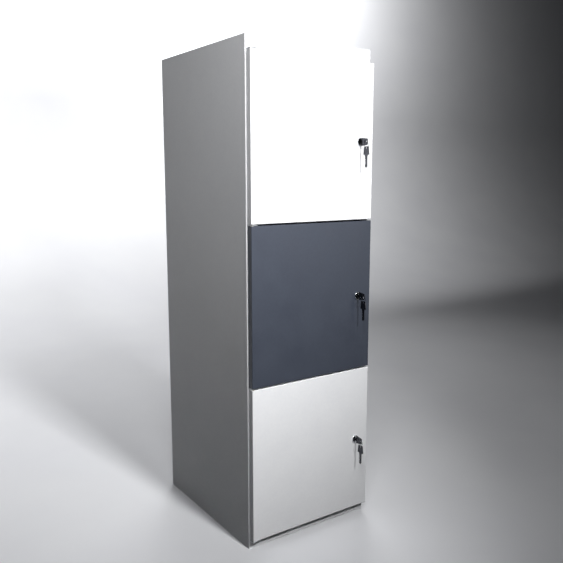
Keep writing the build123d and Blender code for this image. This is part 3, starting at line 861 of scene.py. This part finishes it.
    def cutters(self) -> list[Object]:
        """Makes the tools for the sunk panels of the bow and the warding grooves.

        Returns:
            The tools, each standing out past the key's face.
        """
        margin, sunk = self.panel
        width, deep = self.groove
        half, clear, over = self.sheet / 2, 1.0, 0.4
        panel = self.bow_outline(margin, self.bow[0] - sum(self.hole) - margin)
        length, height = self.blade
        made = []
        for side in (-1, 1):
            middle = -side * height / 5
            low, high = middle - width / 2, middle + width / 2
            groove = [(-over, low), (length + clear, low), (length + clear, high), (-over, high)]
            face = sorted((side * (half - sunk), side * (half + clear)))
            made.append(self.plate("bow_panel", [panel], *face))
            face = sorted((side * (half - deep), side * (half + clear)))
            made.append(self.plate("groove", [[Vector((x, y, 0)) for x, y in groove]], *face))
        return made

    def blank(self, name: str) -> Object:
        """Cuts the finished key, lying flat with its shoulder at the origin.

        Args:
            name: The key's name.

        Returns:
            The key.
        """
        half = self.sheet / 2
        radius, from_end = self.hole
        key = self.plate(name, [self.outline(), self.circle(from_end - self.bow[0], radius)], -half, half)
        tools = self.cutters()
        for tool in tools:
            cut = key.modifiers.new("cut", "BOOLEAN")
            cut.object, cut.operation, cut.solver = tool, "DIFFERENCE", "EXACT"
        edge = key.modifiers.new("edge", "BEVEL")
        edge.width, edge.segments = self.bevel * MM, 2
        edge.limit_method, edge.angle_limit = "ANGLE", math.radians(self.sharp)
        freeze(key)
        for tool in tools:
            bpy.data.objects.remove(tool)
        return key

    def in_lock(self, place: Place) -> None:
        """Puts the key that stands in the lock, with its cuts upward.

        Args:
            place: The compartment.
        """
        node = place.value + "_key"
        low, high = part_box(node)
        shoulder = on_axis(low, high, low.y + self.bow[0] * MM)
        turn = Matrix(((0, 0, 1), (1, 0, 0), (0, 1, 0)))
        self.put(place.value + "_cut_key", turn, shoulder, place.value + "_inserted_key", node)

    def on_ring(self, place: Place) -> None:
        """Hangs the spare key with its blade straight down.

        Args:
            place: The compartment.
        """
        node = place.value + "_spare_key"
        low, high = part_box(node)
        shoulder = Vector(((low.x + high.x) / 2, (low.y + high.y) / 2, high.z - self.bow[0] * MM))
        turn = Matrix(((0, 0, 1), (0, 1, 0), (-1, 0, 0)))
        self.put(place.value + "_cut_spare_key", turn, shoulder, place.value + "_hanging_key", node)

    def put(self, name: str, turn: Matrix, shoulder: Vector, body: str, node: str) -> None:
        """Turns a blank, moves its shoulder into place and settles it on its body.

        Args:
            name: The piece's name.
            turn: Rotation from lying flat.
            shoulder: Where the shoulder goes.
            body: The CAD body that carries it.
            node: The CAD node that it replaces.
        """
        key = self.blank(name)
        key.data.transform(Matrix.Translation(shoulder) @ turn.to_4x4())
        settle(key, body, NICKEL_KEY, node)


@dataclass
class LockSet:
    """One cam lock with its keys, sized in millimetres.

    Attributes:
        place: The compartment that it locks.
        nut_bore: Radius of the nut's bore.
        chamfer: Angle of the chamfer on the nut's outer corners, in degrees.
        steps: How many steps the nut is turned in.
        body: Radius of the lock body and its width over the flats.
        ridge: Radius of a thread ridge's section.
        pitch: Thread pitch.
        ring: Radius of the ring, to the middle of its wire.
        wire: Radius of the ring's wire.
        coil: Width that the ring's coil takes up, and its turns.
        cam_screw: Socket-head screw that holds the cam on the plug's tail.
    """

    place: Place
    nut_bore: float = 9.53
    chamfer: float = 30.0
    steps: int = 72
    body: Pair = (9.5, 16.0)
    ridge: float = 0.28
    pitch: float = 1.0
    ring: float = 7.0
    wire: float = 0.4
    coil: Pair = (0.55, 1.9)
    cam_screw: Fixing = Fixing((4.5, 2.5), 0.6, (1.7, 1.5), 6, (2.0, 3.9), (2.0, 1.4, 0.8), Facing.BACK, 5)

    def named(self, part: str) -> str:
        """Gives the name of this lock's part, piece or body."""
        return f"{self.place.value}_{part}"

    def dress_lock(self) -> None:
        """Chromes what shows at the front and plates what is behind the door."""
        for part in ("lock_housing", "lock_plug"):
            dress(self.named(part), CHROME)
        for part in ("stop_washer", "lock_cam"):
            dress(self.named(part), ZINC_PLATE)

    def nut_section(self, turn: float, half: float, height: float, offset: float) -> list[Pair]:
        """Works out the nut's section at one turn about its axis.

        Args:
            turn: The angle about the axis.
            half: Half of the width across the flats.
            height: The nut's height.
            offset: Turn from the first corner to where the angles start.

        Returns:
            Radius and height of the bore's edge, the base's edge, the chamfer's foot and its top.
        """
        corner = (turn - offset) % (math.pi / 3)
        reach = half / math.cos(abs(corner - math.pi / 6))
        crown = min(reach, half * 1.005)
        fall = (reach - crown) * math.tan(math.radians(self.chamfer))
        return [(self.nut_bore * MM, 0.0), (reach, 0.0), (reach, height - fall), (crown, height)]

    def chamfered_nut(self) -> None:
        """Makes the hexagon nut, whose outer corners are turned off to a chamfer."""
        low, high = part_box(self.named("lock_nut"))
        size = high - low
        centre = on_axis(low, high, low.y)
        offset = 0.0 if size.x > size.z else math.pi / 6
        steps = self.steps
        shape = bmesh.new()
        rings: list[list[bmesh.types.BMVert]] = [[] for _ in range(4)]
        for step in range(steps):
            turn = math.tau * step / steps
            section = self.nut_section(turn, min(size.x, size.z) / 2, size.y, offset)
            for ring, (radius, level) in zip(rings, section):
                spot = Vector((radius * math.cos(turn), level, radius * math.sin(turn)))
                ring.append(shape.verts.new(centre + spot))
        rings.append([shape.verts.new(point.co + Vector((0, size.y, 0))) for point in rings[0]])
        for number, ring in enumerate(rings):
            above = rings[(number + 1) % len(rings)]
            for step in range(steps):
                shape.faces.new((ring[step - 1], ring[step], above[step], above[step - 1]))
        bmesh.ops.recalc_face_normals(shape, faces=shape.faces)
        mesh = bpy.data.meshes.new(self.named("chamfered_nut"))
        shape.to_mesh(mesh)
        shape.free()
        settle(link_piece(mesh.name, mesh), self.named("door"), ZINC_PLATE, self.named("lock_nut"))

    def thread(self, tree: GeometryTree) -> None:
        """Cuts the thread that shows between the nut and the end of the lock body.

        Args:
            tree: The thread tree.
        """
        low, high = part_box(self.named("lock_housing"))
        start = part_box(self.named("lock_nut"))[1].y + self.pitch * MM / 2
        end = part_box(self.named("stop_washer"))[0].y - self.pitch * MM
        radius, over_flats = self.body
        sunk, flat_edge = 0.05, 0.03
        flat_angle = math.acos(over_flats / 2 / radius) + flat_edge
        sizes = {
            "Radius": (radius - sunk) * MM,
            "Ridge": self.ridge * MM,
            "Length": end - start,
            "Start": flat_angle,
            "Sweep": math.pi - 2 * flat_angle,
            "Turns": max(2, round((end - start) / (self.pitch * MM)) + 1),
        }
        centre = on_axis(low, high, (start + end) / 2)
        settle(tree.bake(self.named("lock_thread"), [centre], CHROME, sizes), self.named("door"), CHROME)

    def split_ring(self, tree: GeometryTree) -> None:
        """Winds the ring through both keys' holes.

        Args:
            tree: The ring tree.
        """
        node = self.named("key_ring")
        low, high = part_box(node)
        width, turns = self.coil
        sizes = {"Radius": self.ring * MM, "Wire Radius": self.wire * MM, "Width": width * MM}
        sizes["Turns"] = turns
        piece = tree.bake(self.named("split_ring"), [(low + high) / 2], NICKEL_KEY, sizes)
        settle(piece, self.named("ring"), NICKEL_KEY, node)

    def build(self, fixings: GeometryTree, threads: GeometryTree, rings: GeometryTree) -> None:
        """Builds the lock, its ring and its keys.

        Args:
            fixings: The fixing tree.
            threads: The thread tree.
            rings: The ring tree.
        """
        self.dress_lock()
        self.chamfered_nut()
        self.thread(threads)
        screw = self.named("cam_screw")
        self.cam_screw.make(fixings, self.named("cam_socket_screw"), self.named("lock"), ZINC_PLATE, screw)
        self.split_ring(rings)
        key = FlatKey()
        key.in_lock(self.place)
        key.on_ring(self.place)


@dataclass
class Door:
    """One hinged door: outer skin, inner panel and the pivots at its left edge.

    Attributes:
        place: The compartment that it closes.
        coat: Its powder coat.
    """

    place: Place
    coat: Finish

    def build(self) -> None:
        """Coats the door and leaves its pivots plated and plain."""
        name = self.place.value
        dress(name + "_door_skin", self.coat)
        dress(name + "_door_inner_panel", self.coat)
        dress(name + "_hinge_blocks", ZINC_PLATE)
        dress(name + "_pivot_bushes", NYLON)


# ---- studio ----


@dataclass(frozen=True)
class SoftLight:
    """One square studio light.

    Attributes:
        name: Its name.
        place: Where it stands, in metres.
        aim: What it points at.
        side: Its side in metres.
        power: Its power in watts.
        spread: Angle in degrees that its light fills.
        card: True for a card that is seen only in gloss and bare metal.
    """

    name: str
    place: Triple
    aim: Triple
    side: float
    power: float
    spread: float = 180.0
    card: bool = False

    def switch_on(self) -> None:
        """Adds the light to the scene, unseen by the camera itself."""
        data = bpy.data.lights.new(self.name, "AREA")
        data.size = self.side
        data.energy = self.power
        data.spread = math.radians(self.spread)
        lamp = bpy.data.objects.new(self.name, data)
        lamp.location = self.place
        lamp.rotation_euler = (Vector(self.aim) - Vector(self.place)).to_track_quat("-Z", "Y").to_euler()
        lamp.visible_camera = False
        lamp.visible_diffuse = not self.card
        bpy.context.scene.collection.objects.link(lamp)


@dataclass
class Studio:
    """Floor, backdrop, lights and camera.

    Attributes:
        eye: The camera's place in metres.
        heading: The camera's turn to the right of +Y, in degrees.
        dip: How far it looks down, in degrees.
        lens: Focal length on a 36 mm sensor.
        depth: How far behind the locker the backdrop starts to rise.
        sweep: Radius of the backdrop's curve.
        half_width: Half of the floor's width.
        height: Height of the backdrop.
        near_edge: Where the floor ends in front of the locker.
        glow: Strength of the even light in the room.
        lights: The lamps and the reflecting card.
    """

    eye: Triple = (-1.0703, -1.6517, 0.9945)
    heading: float = 34.58
    dip: float = 9.05
    lens: float = 42.66
    depth: float = 2.4
    sweep: float = 1.6
    half_width: float = 9.0
    height: float = 6.0
    near_edge: float = -8.0
    glow: float = 0.018
    lights: tuple[SoftLight, ...] = (
        SoftLight("key_light", (0.0, -2.235, 2.15), (-0.3, -0.254, 1.0), 0.3, 10.5, 58.0),
        SoftLight("side_fill", (-0.8, -1.2, 2.05), (-0.2, -0.4, 1.3), 0.4, 4.8, 100.0),
        SoftLight("backdrop_light", (-1.4, 2.0, 3.4), (-1.3, 4.0, 1.4), 1.4, 98.0, 150.0),
        SoftLight("right_backdrop_light", (2.3, 2.4, 3.4), (2.3, 4.0, 2.8), 1.4, 120.0, 160.0),
        SoftLight("rear_light", (1.5, 1.9, 2.4), (0.1, 0.0, 0.7), 1.2, 13.0, 140.0),
        SoftLight("reflection_card", (1.25, -1.9, 0.8), (0.15, -0.25, 0.7), 0.5, 1.6, 120.0, True),
    )

    def floor(self) -> None:
        """Lays a seamless floor that sweeps up behind the locker."""
        steps = 12
        profile = [(self.near_edge, 0.0), (self.depth, 0.0)]
        for step in range(1, steps + 1):
            turn = math.pi / 2 * step / steps
            profile.append((self.depth + self.sweep * math.sin(turn), self.sweep * (1 - math.cos(turn))))
        profile.append((self.depth + self.sweep, self.height))
        mesh = bpy.data.meshes.new("studio_floor")
        points = [(side * self.half_width, y, z) for y, z in profile for side in (-1, 1)]
        faces = [(2 * n, 2 * n + 1, 2 * n + 3, 2 * n + 2) for n in range(len(profile) - 1)]
        mesh.from_pydata(points, [], faces)
        mesh.materials.append(STUDIO_FLOOR.material())
        shade(mesh, 60.0)
        floor = link_piece("studio_floor", mesh)
        floor.visible_diffuse = False

    def world(self) -> None:
        """Fills the room with a weak, even light."""
        world = bpy.data.worlds.new("room")
        world.use_nodes = True
        tree = world.node_tree
        tree.nodes.clear()
        glow = add_node(tree, "ShaderNodeBackground", {"Color": linear("#E4E8F0"), "Strength": self.glow})
        add_node(tree, "ShaderNodeOutputWorld", {"Surface": glow.outputs[0]})
        bpy.context.scene.world = world

    def camera(self) -> None:
        """Stands the camera to the left of the doors, a little above their middle."""
        data = bpy.data.cameras.new("camera")
        data.sensor_width = 36.0
        data.lens = self.lens
        camera = bpy.data.objects.new("camera", data)
        turn, dip = math.radians(self.heading), math.radians(self.dip)
        ahead = Vector((math.sin(turn) * math.cos(dip), math.cos(turn) * math.cos(dip), -math.sin(dip)))
        camera.location = self.eye
        camera.rotation_euler = ahead.to_track_quat("-Z", "Y").to_euler()
        bpy.context.scene.collection.objects.link(camera)
        bpy.context.scene.camera = camera

    def build(self) -> None:
        """Sets up the whole studio."""
        self.floor()
        self.world()
        for light in self.lights:
            light.switch_on()
        self.camera()
        scene = bpy.context.scene
        scene.view_settings.view_transform = "Standard"
        scene.view_settings.look = "None"


def main() -> None:
    """Builds the locker's looks and the studio."""
    logging.basicConfig(level=logging.INFO, format="%(name)s: %(message)s")
    fixings, threads, rings = fixing_tree(), thread_tree(), ring_tree()
    Carcass().build(fixings)
    coats = {Place.LOWER: WHITE_COAT, Place.MIDDLE: GRAPHITE_COAT, Place.UPPER: WHITE_COAT}
    for place, coat in coats.items():
        Door(place, coat).build()
        LockSet(place).build(fixings, threads, rings)
    Studio().build()


if __name__ == "__main__":
    main()
